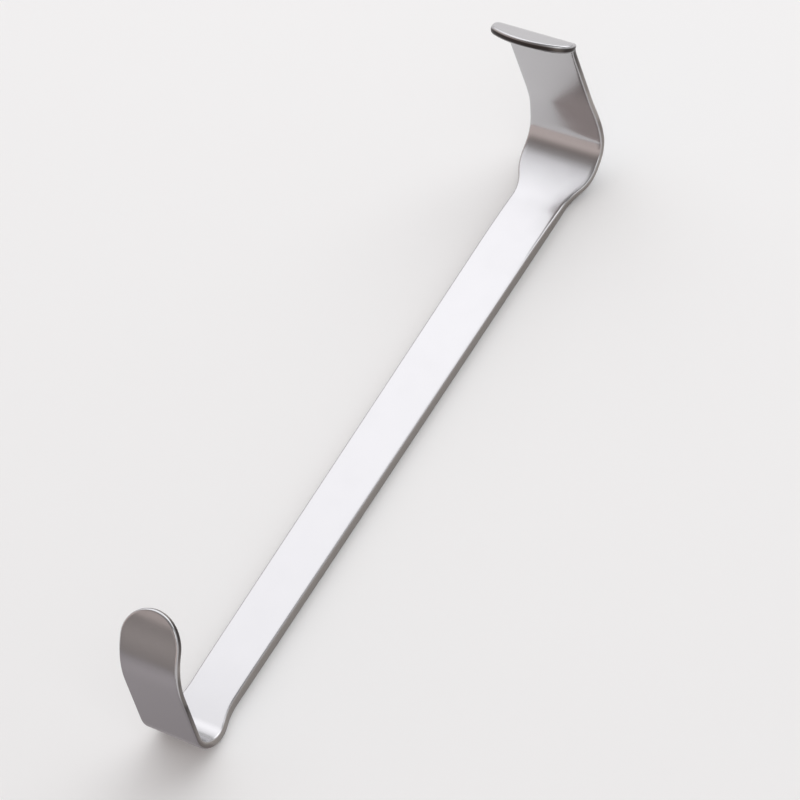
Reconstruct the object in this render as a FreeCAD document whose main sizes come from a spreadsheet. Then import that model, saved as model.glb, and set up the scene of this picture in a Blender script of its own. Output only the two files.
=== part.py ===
import FreeCAD, Part
import math
import os
import Sketcher

# A double-ended hand retractor: one strip of forged steel, bent up at both ends.
# X runs along the shank from the narrow hook to the wide blade, Y is across, Z is up.
# The flat underside of the shank is at z = 0, and the origin is midway between the two ends.

SIZES = [
    ("overall_length", 190.0, "outside of the hook to outside of the blade"),
    ("shank_thick", 3.0, "shank between its two tapers"),
    ("neck_thick", 2.4, "shank where each bend begins"),
    ("shank_wide_hook", 12.4, "shank where the hook begins to widen"),
    ("shank_wide_blade", 14.3, "shank where the blade begins to widen"),
    ("taper_long", 18.0, "length of each thinning of the shank"),
    ("hook_thick", 1.75, "hook above its bend"),
    ("hook_wide", 15.8, "hook, the same all the way up"),
    ("hook_bend_rad", 6.35, "inside of the bend at the hook"),
    ("hook_turn", 93.6, "turn of that bend"),
    ("hook_leg", 15.2, "straight part of the hook"),
    ("hook_curl_rad", 21.9, "inside of the curl towards the tip"),
    ("hook_curl_turn", 52.7, "turn of the curl"),
    ("hook_flare", 10.8, "length over which the shank widens into the hook"),
    ("hook_flare_in", 5.1, "from the outside of the hook to the end of that flare"),
    ("blade_thick", 1.6, "blade from its crease to its lip"),
    ("ease_rad", 28.3, "inside of the wide bend that leads into the blade's crease"),
    ("ease_turn", 28.1, "turn of that wide bend"),
    ("crease_rad", 7.1, "inside of the crease, the tight middle of the blade's bend"),
    ("crease_turn", 49.1, "turn of the crease"),
    ("settle_rad", 27.6, "inside of the wide bend that leads out of the crease"),
    ("settle_turn", 17.4, "turn of that wide bend"),
    ("blade_leg", 24.6, "straight part of the blade"),
    ("blade_bulge", 21.0, "widest place, in the bend"),
    ("bulge_high", 5.0, "height at which the bulge begins to run out"),
    ("blade_narrowing", 19.0, "height over which it runs out"),
    ("blade_wide", 18.6, "straight part of the blade"),
    ("blade_flare", 12.5, "length over which the shank widens into the bend"),
    ("blade_flare_in", 7.5, "from the outside of the blade to the end of that flare"),
    ("lip_thick", 2.0, "lip, a little thicker than the blade"),
    ("lip_rad", 3.3, "inside of the lip's curl"),
    ("lip_turn", 52.0, "turn of the lip"),
    ("lip_long", 6.2, "flat part of the lip, at its middle"),
    ("lip_wide", 22.4, "lip across its corners"),
    ("lip_flare_rad", 4.5, "hollow in each side below the lip's corner"),
    ("lip_corner_rad", 4.2, "corners of the lip"),
    ("lip_end_rad", 19.0, "bowed end edge of the lip"),
    ("edge_round", 0.6, "rounding of every long edge"),
]
# what follows from them: outside radii, headings, and where the bends and their centres lie
RULES = [
    ("hook_bend_out", "hook_bend_rad + (neck_thick - hook_thick * cos(hook_turn)) / (1 - cos(hook_turn))"),
    ("hook_curl_out", "hook_curl_rad + hook_thick"),
    ("ease_out", "ease_rad + (neck_thick - blade_thick * cos(ease_turn)) / (1 - cos(ease_turn))"),
    ("crease_out", "crease_rad + blade_thick"),
    ("settle_out", "settle_rad + blade_thick"),
    ("lip_out", "lip_rad + lip_thick"),
    ("crease_end", "ease_turn + crease_turn"),
    ("blade_turn", "crease_end + settle_turn"),
    ("end_room", "crease_out * (sin(crease_end) - sin(ease_turn)) + settle_out * (1 - sin(crease_end))"),
    ("ease_start", "overall_length / 2 - ease_out * sin(ease_turn) - end_room"),
    ("hook_start", "overall_length / 2 - hook_bend_out"),
    ("taper_rad", "(taper_long^2 + (shank_thick - neck_thick)^2) / (2 * (shank_thick - neck_thick))"),
    ("settle_low", "(ease_out - crease_out) * cos(ease_turn) + (crease_out - settle_out) * cos(crease_end)"),
    ("settle_up", "ease_out - settle_low"),
    ("lip_lean", "blade_turn + lip_turn"),
    ("lip_gap", "settle_out - lip_out"),
    ("lip_x", "overall_length / 2 - settle_out + lip_gap * sin(blade_turn) + blade_leg * cos(blade_turn)"),
    ("lip_z", "settle_up - lip_gap * cos(blade_turn) + blade_leg * sin(blade_turn)"),
    ("curl_gap", "hook_curl_out - hook_bend_out"),
    ("curl_x", "curl_gap * sin(hook_turn) - hook_leg * cos(hook_turn) - hook_start"),
    ("curl_z", "hook_bend_out + curl_gap * cos(hook_turn) + hook_leg * sin(hook_turn)"),
    ("tip_lean", "180 - hook_turn - hook_curl_turn + 45 / pi * hook_wide / (hook_curl_rad + hook_thick / 2)"),
]
SIZE = {name: value for name, value, note in SIZES}
V = FreeCAD.Vector
WASTE = 20.0  # how far out from the middle each trimming sketch reaches
SPARE = 3.0  # degrees by which the hook's curl runs on before its tip is trimmed round
OVER = 1.0  # how far strip and trims run on past what they shape
BEYOND = 5.0  # how far the plan's trims run on past both ends
TALL = 80.0  # top of the hook's trims, well above its tip
LIP_BACK, LIP_AHEAD = 12.0, 15.0  # reach of the lip's trim on either side of its curl's centre
TIP_AHEAD = 8.0  # reach of the tip's trim past the round end
LEG_SHARE = 0.75  # part of the blade's leg that its side trims reach; the lip's trims go on from there


def make_sheet(doc):
    sheet = doc.addObject("Spreadsheet::Sheet", "Sizes")
    for row, (name, value, note) in enumerate(SIZES, start=1):
        sheet.set("A%d" % row, name)
        sheet.set("B%d" % row, "%g" % value)
        sheet.set("C%d" % row, note)
        sheet.setAlias("B%d" % row, name)
    for row, (name, rule) in enumerate(RULES, start=len(SIZES) + 1):
        sheet.set("A%d" % row, name)
        sheet.set("B%d" % row, "=" + rule)
        sheet.setAlias("B%d" % row, name)
        doc.recompute()
        SIZE[name] = float(sheet.get(name))


def from_sheet(text):
    # <name> stands for the cell of that name
    return text.replace("<", "Sizes.").replace(">", "")


def new_sketch(body, name, role):
    sketch = body.newObject("Sketcher::SketchObject", name)
    plane = [feature for feature in body.Origin.OriginFeatures if feature.Role == role][0]
    sketch.AttachmentSupport = [(plane, "")]
    sketch.MapMode = "FlatFace"
    return sketch


def tie(sketch, kind, *where):
    sketch.addConstraint(Sketcher.Constraint(kind, *where))


def size_rule(sketch, name, rule, kind, *where):
    number = sketch.addConstraint(Sketcher.Constraint(kind, *where))
    sketch.renameConstraint(number, name)
    sketch.setExpression("Constraints." + name, from_sheet(rule))


def away(sketch, name, rule, axis, spot, place):
    # how far a point is from the sketch's origin along one axis; the rule is positive on both sides
    ends = (-1, 1, *spot) if place >= 0 else (*spot, -1, 1)
    size_rule(sketch, name, rule, "Distance" + axis, *ends, abs(place))


class Trace:
    """Draws lines and arcs one after the other, each smooth with the last unless told otherwise."""

    def __init__(self, sketch, x, y, heading, mirror=1, upright=False):
        # mirror draws the other side's copy; upright swaps the sketch's two axes
        self.sketch, self.mirror, self.upright, self.last = sketch, mirror, upright, None
        self.flipped = (mirror < 0) != upright
        self.at(x, y, heading)

    def at(self, x, y, heading):
        self.point, self.heading = V(x, y), math.radians(heading)

    def place(self, point):
        across = point.y * self.mirror
        return V(across, point.x) if self.upright else V(point.x, across)

    def join(self, number, entry, leave, smooth):
        if self.last:
            tie(self.sketch, "Tangent" if smooth else "Coincident", *self.last, number, entry)
        self.last = (number, leave)
        return number

    def line(self, length, smooth=True):
        start = self.point
        self.point = start + V(math.cos(self.heading), math.sin(self.heading)) * length
        edge = Part.LineSegment(self.place(start), self.place(self.point))
        return self.join(self.sketch.addGeometry(edge), 1, 2, smooth)

    def line_to(self, x, y, smooth=True):
        step = V(x, y) - self.point
        self.heading = math.atan2(step.y, step.x)
        return self.line(step.Length, smooth)

    def arc(self, radius, turn, smooth=True):
        side = 1 if turn > 0 else -1
        start, outward = self.point, V(math.sin(self.heading), -math.cos(self.heading)) * side
        centre = start - outward * radius
        angle = math.atan2(outward.y, outward.x) + math.radians(turn)
        self.heading += math.radians(turn)
        self.point = centre + V(math.cos(angle), math.sin(angle)) * radius
        forward = (side > 0) != self.flipped
        ends = (start, self.point) if forward else (self.point, start)
        hub = self.place(centre)
        spokes = [self.place(end) - hub for end in ends]
        circle = Part.Circle(hub, V(0, 0, 1), radius)
        arc = Part.ArcOfCircle(circle, *[math.atan2(spoke.y, spoke.x) for spoke in spokes])
        entry, leave = (1, 2) if forward else (2, 1)
        return self.join(self.sketch.addGeometry(arc), entry, leave, smooth)

    def shift(self, run, rise):
        # two equal arcs that carry a line sideways, to the left when the rise is positive
        radius = (run**2 + rise**2) / (4 * abs(rise))
        turn = math.degrees(math.asin(run / (2 * radius))) * (1 if rise > 0 else -1)
        pair = self.arc(radius, turn), self.arc(radius, -turn)
        tie(self.sketch, "Equal", *pair)

    def close(self, first):
        tie(self.sketch, "Coincident", *self.last, first, 1)


def draw_outside(sketch):
    trace = Trace(sketch, SIZE["ease_start"], 0, 180)
    edge = {"base": trace.line(SIZE["ease_start"] + SIZE["hook_start"])}
    edge["hook_bend"] = trace.arc(SIZE["hook_bend_out"], -SIZE["hook_turn"])
    edge["hook_leg"] = trace.line(SIZE["hook_leg"])
    edge["hook_curl"] = trace.arc(SIZE["hook_curl_out"], -SIZE["hook_curl_turn"] - SPARE)
    tip = trace.point, trace.last
    trace.last = (edge["base"], 1)
    trace.at(SIZE["ease_start"], 0, 0)
    for name in ("ease", "crease", "settle"):
        edge[name] = trace.arc(SIZE[name + "_out"], SIZE[name + "_turn"])
    edge["blade_leg"] = trace.line(SIZE["blade_leg"])
    edge["lip_curl"] = trace.arc(SIZE["lip_out"], SIZE["lip_turn"])
    edge["lip_flat"] = trace.line(SIZE["lip_long"] + OVER)

    tie(sketch, "PointOnObject", edge["base"], 1, -1)
    tie(sketch, "PointOnObject", edge["base"], 2, -1)
    away(sketch, "ease_start", "<ease_start>", "X", (edge["base"], 1), SIZE["ease_start"])
    away(sketch, "hook_start", "<hook_start>", "X", (edge["base"], 2), -SIZE["hook_start"])
    for name in ("hook_bend", "hook_curl", "ease", "crease", "settle", "lip"):
        bend = edge["lip_curl" if name == "lip" else name]
        size_rule(sketch, name + "_out", "<%s_out>" % name, "Radius", bend, SIZE[name + "_out"])
    for name in ("ease", "crease", "settle"):
        turn = name + "_turn"
        size_rule(sketch, turn, "<%s>" % turn, "Angle", edge[name], math.radians(SIZE[turn]))
    for name in ("hook_leg", "blade_leg"):
        size_rule(sketch, name, "<%s>" % name, "Distance", edge[name], SIZE[name])
    run = SIZE["lip_long"] + OVER
    size_rule(sketch, "lip_run", "<lip_long> + %g" % OVER, "Distance", edge["lip_flat"], run)
    slopes = (("hook_leg", "180 - <hook_turn>", 180 - SIZE["hook_turn"]),
              ("lip_flat", "<lip_lean>", SIZE["lip_lean"]))
    for name, rule, angle in slopes:
        size_rule(sketch, name + "_slope", rule, "Angle", edge[name], math.radians(angle))
    return edge, tip, (trace.point, trace.last)


def draw_inside(sketch, outside):
    # each bend's inside is a tighter arc than its outside, which thins the shank down to the hook or blade
    top, run, both = SIZE["shank_thick"], SIZE["taper_long"], SIZE["taper_rad"]
    turn = math.degrees(math.asin(run / both))
    hook, ease = SIZE["hook_bend_rad"], SIZE["ease_rad"]
    hook_in = (SIZE["hook_bend_out"] - hook - SIZE["hook_thick"]) * math.sin(math.radians(SIZE["hook_turn"]))
    ease_in = (SIZE["ease_out"] - ease - SIZE["blade_thick"]) * math.sin(math.radians(SIZE["ease_turn"]))
    right, left = SIZE["ease_start"] + ease_in - run, run - hook_in - SIZE["hook_start"]
    trace = Trace(sketch, right, top, 180)
    edge = {"top": trace.line(right - left), "hook_taper": trace.arc(both - hook, turn)}
    edge["hook_bend"] = trace.arc(hook, -SIZE["hook_turn"] - turn)
    edge["hook_leg"] = trace.line(SIZE["hook_leg"])
    edge["hook_curl"] = trace.arc(SIZE["hook_curl_rad"], -SIZE["hook_curl_turn"] - SPARE)
    tip = trace.point, trace.last
    trace.last = (edge["top"], 1)
    trace.at(right, top, 0)
    edge["ease_taper"] = trace.arc(both - ease, -turn)
    edge["ease"] = trace.arc(ease, SIZE["ease_turn"] + turn)
    for name in ("crease", "settle"):
        edge[name] = trace.arc(SIZE[name + "_rad"], SIZE[name + "_turn"])
    lean = math.radians(SIZE["lip_turn"])
    sooner = (SIZE["lip_thick"] - SIZE["blade_thick"]) / math.sin(lean)
    edge["blade_leg"] = trace.line(SIZE["blade_leg"] - sooner * math.cos(lean))
    edge["lip_curl"] = trace.arc(SIZE["lip_rad"], SIZE["lip_turn"])
    edge["lip_flat"] = trace.line(SIZE["lip_long"] + OVER + sooner)

    tie(sketch, "Horizontal", edge["top"])
    away(sketch, "shank_top", "<shank_thick>", "Y", (edge["top"], 1), top)
    for name in ("hook_curl", "crease", "settle"):
        tie(sketch, "Coincident", edge[name], 3, outside[name], 3)
    for name in ("hook_leg", "blade_leg", "lip_flat"):
        tie(sketch, "Parallel", edge[name], outside[name])
    for name, rule in (("hook_bend", "hook_bend_rad"), ("hook_curl", "hook_curl_rad"), ("ease", "ease_rad"),
                       ("crease", "crease_rad"), ("lip_curl", "lip_rad")):
        size_rule(sketch, name + "_in", "<%s>" % rule, "Radius", edge[name], SIZE[rule])
    for name, bend in (("hook_taper", "hook_bend"), ("ease_taper", "ease")):
        rule = "<%s_rad>" % bend
        size_rule(sketch, name, "<taper_rad> - " + rule, "Radius", edge[name], both - SIZE[bend + "_rad"])
        up = SIZE["neck_thick"] + SIZE[bend + "_rad"]
        away(sketch, bend + "_up", "<neck_thick> + " + rule, "Y", (edge[bend], 3), up)
    return tip, (trace.point, trace.last)


def draw_ends(sketch, outside, outer_ends, inner_ends):
    ends = []
    for (inner, inner_at), (outer, outer_at) in zip(inner_ends, outer_ends):
        ends.append(sketch.addGeometry(Part.LineSegment(inner, outer)))
        tie(sketch, "Coincident", ends[-1], 1, *inner_at)
        tie(sketch, "Coincident", ends[-1], 2, *outer_at)
    tie(sketch, "PointOnObject", outside["hook_curl"], 3, ends[0])
    angle = 270 - SIZE["hook_turn"] - SIZE["hook_curl_turn"] - SPARE
    rule = "%g - <hook_turn> - <hook_curl_turn>" % (270 - SPARE)
    size_rule(sketch, "tip_slope", rule, "Angle", ends[0], math.radians(angle))
    tie(sketch, "Perpendicular", ends[1], outside["lip_flat"])
    size_rule(sketch, "lip_thick", "<lip_thick>", "Distance", ends[1], SIZE["lip_thick"])


def add_strip(body):
    sketch = new_sketch(body, "SideProfile", "XZ_Plane")
    outside, *outer_ends = draw_outside(sketch)
    inner_ends = draw_inside(sketch, outside)
    draw_ends(sketch, outside, outer_ends, inner_ends)
    strip = body.newObject("PartDesign::Pad", "BentStrip")
    strip.Profile = sketch
    strip.SideType = "Symmetric"
    strip.setExpression("Length", from_sheet("<lip_wide> + %g" % (2 * OVER)))


def add_trim(body, name, sketch, depth, onward):
    trim = body.newObject("PartDesign::Pocket", name)
    trim.Profile = sketch
    trim.setExpression("Length", from_sheet(depth))
    trim.Reversed = onward
    return trim


def frame_waste(trace, first, far, near, tag, limits):
    # three straight sides, out, along and back, that close a waste region
    out = trace.line_to(far, WASTE, smooth=False)
    along = trace.line_to(near, WASTE, smooth=False)
    back = trace.line_to(*limits, smooth=False)
    trace.close(first)
    sketch = trace.sketch
    tie(sketch, "Vertical", out)
    tie(sketch, "Horizontal", along)
    tie(sketch, "Vertical", back)
    away(sketch, tag + "waste", "%g" % WASTE, "Y", (along, 1), WASTE * trace.mirror)


def add_plan_trim(body):
    # seen from above: the shank's sides and its flares, up to the middle of each bend
    sketch = new_sketch(body, "PlanOutline", "XY_Plane")
    half = SIZE["overall_length"] / 2
    hook_end, blade_end = SIZE["hook_flare_in"] - half, half - SIZE["blade_flare_in"]
    hook_run, blade_run = SIZE["hook_flare"], SIZE["blade_flare"]
    hook, blade = SIZE["hook_wide"] / 2, SIZE["blade_bulge"] / 2
    thin, broad = SIZE["shank_wide_hook"] / 2, SIZE["shank_wide_blade"] / 2
    near, far = -half - BEYOND, half + BEYOND
    for tag, side in (("left_", 1), ("right_", -1)):
        trace = Trace(sketch, near, hook, 0, side)
        first = trace.line_to(hook_end, hook)
        trace.shift(hook_run, thin - hook)
        shank = trace.line_to(blade_end - blade_run, broad)
        trace.at(blade_end - blade_run, broad, 0)
        trace.shift(blade_run, blade - broad)
        last = trace.line_to(far, blade)
        frame_waste(trace, first, far, near, tag, (near, hook))
        tie(sketch, "Horizontal", first)
        tie(sketch, "Horizontal", last)
        reach, beyond = "<overall_length> / 2 - <%s_flare_in>", "<overall_length> / 2 + %g" % BEYOND
        away(sketch, tag + "hook", "<hook_wide> / 2", "Y", (first, 2), hook * side)
        away(sketch, tag + "blade", "<blade_bulge> / 2", "Y", (last, 1), blade * side)
        away(sketch, tag + "thin", "<shank_wide_hook> / 2", "Y", (shank, 1), thin * side)
        away(sketch, tag + "broad", "<shank_wide_blade> / 2", "Y", (shank, 2), broad * side)
        away(sketch, tag + "near", beyond, "X", (first, 1), near)
        away(sketch, tag + "far", beyond, "X", (last, 2), far)
        ends = (("hook", first, 2, hook_end, shank, 1, hook_end + hook_run),
                ("blade", last, 1, blade_end, shank, 2, blade_end - blade_run))
        for name, line, point, x, other, corner, other_x in ends:
            rule = reach % name
            away(sketch, tag + name + "_end", rule, "X", (line, point), x)
            away(sketch, tag + name + "_flare", rule + " - <%s_flare>" % name, "X", (other, corner), other_x)
    add_trim(body, "PlanTrim", sketch, "<bulge_high> + 2 * <blade_thick>", True)


def add_hook_sides(body):
    sketch = new_sketch(body, "HookOutline", "YZ_Plane")
    width, low, high = SIZE["hook_wide"] / 2, -OVER, TALL
    for tag, side in (("left_", 1), ("right_", -1)):
        points = [(width, low), (WASTE, low), (WASTE, high), (width, high)]
        corners = [V(x * side, y) for x, y in points]
        lines = [sketch.addGeometry(Part.LineSegment(corners[k - 1], corners[k])) for k in range(4)]
        for number, line in enumerate(lines):
            tie(sketch, "Coincident", lines[number - 1], 2, line, 1)
            tie(sketch, "Vertical" if number % 2 == 0 else "Horizontal", line)
        away(sketch, tag + "width", "<hook_wide> / 2", "X", (lines[0], 1), width * side)
        away(sketch, tag + "waste", "%g" % WASTE, "X", (lines[2], 1), WASTE * side)
        away(sketch, tag + "low", "%g" % OVER, "Y", (lines[0], 2), low)
        away(sketch, tag + "high", "%g" % TALL, "Y", (lines[0], 1), high)
    add_trim(body, "HookTrim", sketch, "<overall_length>", False)


def add_blade_sides(body):
    # seen from the end: the bulge of the bend runs out into the straight sides of the blade
    sketch = new_sketch(body, "BladeOutline", "YZ_Plane")
    bulge, width, run = SIZE["blade_bulge"] / 2, SIZE["blade_wide"] / 2, SIZE["blade_narrowing"]
    low, start, lean = -OVER, SIZE["bulge_high"], math.radians(SIZE["blade_turn"])
    up = LEG_SHARE * SIZE["blade_leg"]
    top = SIZE["settle_up"] - SIZE["settle_out"] * math.cos(lean) + up * math.sin(lean)
    top_rule = "<settle_up> - <settle_out> * cos(<blade_turn>) + %g * <blade_leg> * sin(<blade_turn>)"
    for tag, side in (("left_", 1), ("right_", -1)):
        trace = Trace(sketch, low, bulge, 0, side, upright=True)
        first = trace.line_to(start, bulge)
        trace.shift(run, width - bulge)
        last = trace.line_to(top, width)
        out = trace.line_to(top, WASTE, smooth=False)
        along = trace.line_to(low, WASTE, smooth=False)
        back = trace.line_to(low, bulge, smooth=False)
        trace.close(first)
        for line, kind in ((first, "Vertical"), (last, "Vertical"), (out, "Horizontal"),
                           (along, "Vertical"), (back, "Horizontal")):
            tie(sketch, kind, line)
        away(sketch, tag + "waste", "%g" % WASTE, "X", (along, 1), WASTE * side)
        away(sketch, tag + "bulge", "<blade_bulge> / 2", "X", (first, 1), bulge * side)
        away(sketch, tag + "width", "<blade_wide> / 2", "X", (last, 1), width * side)
        away(sketch, tag + "low", "%g" % OVER, "Y", (first, 1), low)
        away(sketch, tag + "start", "<bulge_high>", "Y", (first, 2), start)
        away(sketch, tag + "run", "<bulge_high> + <blade_narrowing>", "Y", (last, 1), start + run)
        away(sketch, tag + "top", top_rule % LEG_SHARE, "Y", (last, 2), top)
    add_trim(body, "BladeTrim", sketch, "<overall_length>", True)


def tilt(sketch, names):
    # moves a sketch to a point of the XZ plane, with its own X axis raised by an angle
    x, z, angle = [SIZE[name] for name in names]
    sketch.AttachmentOffset = FreeCAD.Placement(V(x, 0, z), FreeCAD.Rotation(V(0, -1, 0), angle))
    for part, name in zip(("Base.x", "Base.z", "Rotation.Angle"), names):
        sketch.setExpression("AttachmentOffset." + part, from_sheet("<%s>" % name))


def add_lip_trim(body):
    # the lip's own outline, drawn in the plane of the lip with X towards its end edge
    sketch = new_sketch(body, "LipOutline", "XY_Plane")
    tilt(sketch, ("lip_x", "lip_z", "lip_lean"))
    width, corner, bow = SIZE["blade_wide"] / 2, SIZE["lip_corner_rad"], SIZE["lip_end_rad"]
    hollow, centre_y = SIZE["lip_flare_rad"], SIZE["lip_wide"] / 2 - SIZE["lip_corner_rad"]
    swing = math.degrees(math.asin(centre_y / (bow - corner)))
    centre_x = SIZE["lip_long"] - bow + (bow - corner) * math.cos(math.radians(swing))
    spread = math.degrees(math.acos((width + hollow - centre_y) / (hollow + corner)))
    flare_x = centre_x - (hollow + corner) * math.sin(math.radians(spread))
    near, far = -LIP_BACK, LIP_AHEAD
    trace = Trace(sketch, near, width, 0)
    first = trace.line_to(flare_x, width)
    flare = trace.arc(hollow, spread)
    shoulder = trace.arc(corner, swing - 90 - spread)
    end = trace.arc(bow, -2 * swing)
    other_shoulder = trace.arc(corner, swing - 90 - spread)
    other_flare = trace.arc(hollow, spread)
    last = trace.line_to(near, -width)
    sides = [trace.line_to(*corner_at, smooth=False) for corner_at in
             ((near, -WASTE), (far, -WASTE), (far, WASTE), (near, WASTE), (near, width))]
    trace.close(first)
    for number, side in enumerate(sides):
        tie(sketch, "Horizontal" if number % 2 else "Vertical", side)
    tie(sketch, "Horizontal", first)
    tie(sketch, "Horizontal", last)
    tie(sketch, "Vertical", first, 1, last, 2)
    tie(sketch, "Equal", flare, other_flare)
    tie(sketch, "Equal", shoulder, other_shoulder)
    tie(sketch, "PointOnObject", end, 3, -1)
    size_rule(sketch, "hollow", "<lip_flare_rad>", "Radius", flare, hollow)
    size_rule(sketch, "corner", "<lip_corner_rad>", "Radius", shoulder, corner)
    size_rule(sketch, "bow", "<lip_end_rad>", "Radius", end, bow)
    away(sketch, "bow_centre", "<lip_end_rad> - <lip_long>", "X", (end, 3), SIZE["lip_long"] - bow)
    away(sketch, "near", "%g" % LIP_BACK, "X", (first, 1), near)
    away(sketch, "far", "%g" % LIP_AHEAD, "X", (sides[2], 1), far)
    rims = ("left", 1, (first, 1), shoulder), ("right", -1, (last, 2), other_shoulder)
    for tag, side, start, arc in rims:
        away(sketch, tag + "_width", "<blade_wide> / 2", "Y", start, width * side)
        away(sketch, tag + "_corner", "<lip_wide> / 2 - <lip_corner_rad>", "Y", (arc, 3), centre_y * side)
    away(sketch, "left_waste", "%g" % WASTE, "Y", (sides[3], 1), WASTE)
    away(sketch, "right_waste", "%g" % WASTE, "Y", (sides[1], 1), -WASTE)
    trim = add_trim(body, "LipTrim", sketch, "2 * <lip_out> + %g" % (LIP_AHEAD - OVER), False)
    trim.SideType = "Symmetric"


def add_tip_trim(body):
    # the hook's round tip, drawn square to the curl with X towards the tip
    sketch = new_sketch(body, "TipOutline", "XY_Plane")
    tilt(sketch, ("curl_x", "curl_z", "tip_lean"))
    radius = SIZE["hook_wide"] / 2
    near, far = -radius / 2, radius / 2 + TIP_AHEAD
    trace = Trace(sketch, near, radius, 0)
    round_end = trace.arc(radius, -180)
    sides = [trace.line_to(*corner_at, smooth=False) for corner_at in
             ((near, -WASTE), (far, -WASTE), (far, WASTE), (near, WASTE), (near, radius))]
    tie(sketch, "Coincident", *trace.last, round_end, 2)
    for number, side in enumerate(sides):
        tie(sketch, "Horizontal" if number % 2 else "Vertical", side)
    tie(sketch, "PointOnObject", round_end, 3, -1)
    tie(sketch, "Vertical", round_end, 1, round_end, 3)
    tie(sketch, "Vertical", round_end, 2, round_end, 3)
    size_rule(sketch, "tip", "<hook_wide> / 2", "Radius", round_end, radius)
    away(sketch, "near", "<hook_wide> / 4", "X", (round_end, 3), near)
    away(sketch, "far", "<hook_wide> / 4 + %g" % TIP_AHEAD, "X", (sides[2], 1), far)
    away(sketch, "left_waste", "%g" % WASTE, "Y", (sides[3], 1), WASTE)
    away(sketch, "right_waste", "%g" % WASTE, "Y", (sides[1], 1), -WASTE)
    add_trim(body, "TipTrim", sketch, "<hook_curl_out> + %g" % (2 * OVER), True)


def broad(face):
    # the strip's own faces run straight across it: flat ones, and round ones about a crosswise axis
    surface = face.Surface
    axis = surface.Axis
    if isinstance(surface, Part.Plane):
        return abs(axis.y) < 1e-6
    return isinstance(surface, Part.Cylinder) and abs(axis.y) > 1 - 1e-6


def long_edges(shape):
    names = []
    for number, edge in enumerate(shape.Edges, start=1):
        faces = shape.ancestorsOfType(edge, Part.Face)
        if len(faces) == 2 and broad(faces[0]) != broad(faces[1]):
            names.append("Edge%d" % number)
    return names


def round_edges(body):
    before = body.Tip
    rounding = body.newObject("PartDesign::Fillet", "RoundedEdges")
    rounding.Base = (before, long_edges(before.Shape))
    rounding.setExpression("Radius", from_sheet("<edge_round>"))


def check(doc, body):
    for thing in doc.Objects:
        if "Invalid" in thing.State or "Error" in thing.State:
            raise RuntimeError("%s did not come out right" % thing.Name)
    for sketch in doc.findObjects("Sketcher::SketchObject"):
        if not sketch.FullyConstrained:
            raise RuntimeError("%s is not fully sized" % sketch.Name)
    if body.Shape.isNull() or not body.Shape.isValid() or len(body.Shape.Solids) != 1:
        raise RuntimeError("%s is not one sound solid" % body.Label)


def main():
    doc = FreeCAD.newDocument("Retractor")
    make_sheet(doc)
    body = doc.addObject("PartDesign::Body", "Retractor")
    body.Label = "retractor"
    add_strip(body)
    doc.recompute()
    for add_trim_of in (add_plan_trim, add_hook_sides, add_blade_sides, add_lip_trim, add_tip_trim):
        before = body.Shape.Volume
        add_trim_of(body)
        doc.recompute()
        if not body.Shape.Volume < before - 1:
            raise RuntimeError("%s took nothing away" % body.Tip.Name)
    round_edges(body)
    doc.recompute()
    check(doc, body)
    os.makedirs("parts", exist_ok=True)
    body.Shape.exportStep("parts/%s.step" % body.Label)
    print("volume %.1f mm3, faces %d" % (body.Shape.Volume, len(body.Shape.Faces)))


main()
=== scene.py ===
"""A surgical hand retractor: one bent strip of polished stainless steel on a plain floor in soft light."""

import math

import bpy
from mathutils import Matrix, Vector


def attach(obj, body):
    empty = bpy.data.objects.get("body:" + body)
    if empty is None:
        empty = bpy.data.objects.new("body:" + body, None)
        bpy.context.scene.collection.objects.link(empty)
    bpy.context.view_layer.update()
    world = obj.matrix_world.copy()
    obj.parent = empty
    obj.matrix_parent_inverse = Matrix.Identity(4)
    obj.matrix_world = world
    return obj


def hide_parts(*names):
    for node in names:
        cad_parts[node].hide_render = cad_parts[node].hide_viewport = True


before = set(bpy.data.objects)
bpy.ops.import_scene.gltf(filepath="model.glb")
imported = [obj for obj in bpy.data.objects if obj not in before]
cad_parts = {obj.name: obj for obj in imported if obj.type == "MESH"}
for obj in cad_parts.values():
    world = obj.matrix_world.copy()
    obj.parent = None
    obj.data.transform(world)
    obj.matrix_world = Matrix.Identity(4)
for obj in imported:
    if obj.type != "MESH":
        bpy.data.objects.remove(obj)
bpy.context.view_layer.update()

bl_info = {
    "name": "Handheld Retractor",
    "version": (1, 0, 0),
    "blender": (4, 5, 0),
    "location": "3D View > Sidebar > Retractor",
    "description": "Makes a double-ended surgical hand retractor and a plain studio round it",
    "category": "Add Mesh",
}

MM = 0.001
PIECE = "retractor"
COLUMNS = 18  # faces across the strip
ROUND_STEPS = 6  # faces across each rounded edge
TIP_STEPS = 32  # faces along a quarter of the hook's tip
HOLLOW_STEPS, CORNER_STEPS, BOW_STEPS = 12, 24, 16  # faces along the three arcs of half the lip's outline
FINE, COARSE = 0.45 * MM, 1.6 * MM  # spacing of the rows on the bends and on the straight shank
LIP_ROUNDING_RUN = 4 * MM  # length over which the edge rounding grows to its size on the lip
LIP_ROUNDING = 0.48  # its depth there as a share of the thickness, so that both roundings nearly meet

SQUARE = ((-1, -1), (1, -1), (1, 1), (-1, 1))  # corners of every flat sheet of the stage
FLOOR_HALF = 9.0
WALL_TOP, CEILING = 0.45, 0.85  # heights on a unit sphere between which the walls' light falls off
WARM_SIDE = (-0.87, 0.5, 0.0)  # direction of the warm wall, beyond the hook

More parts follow.
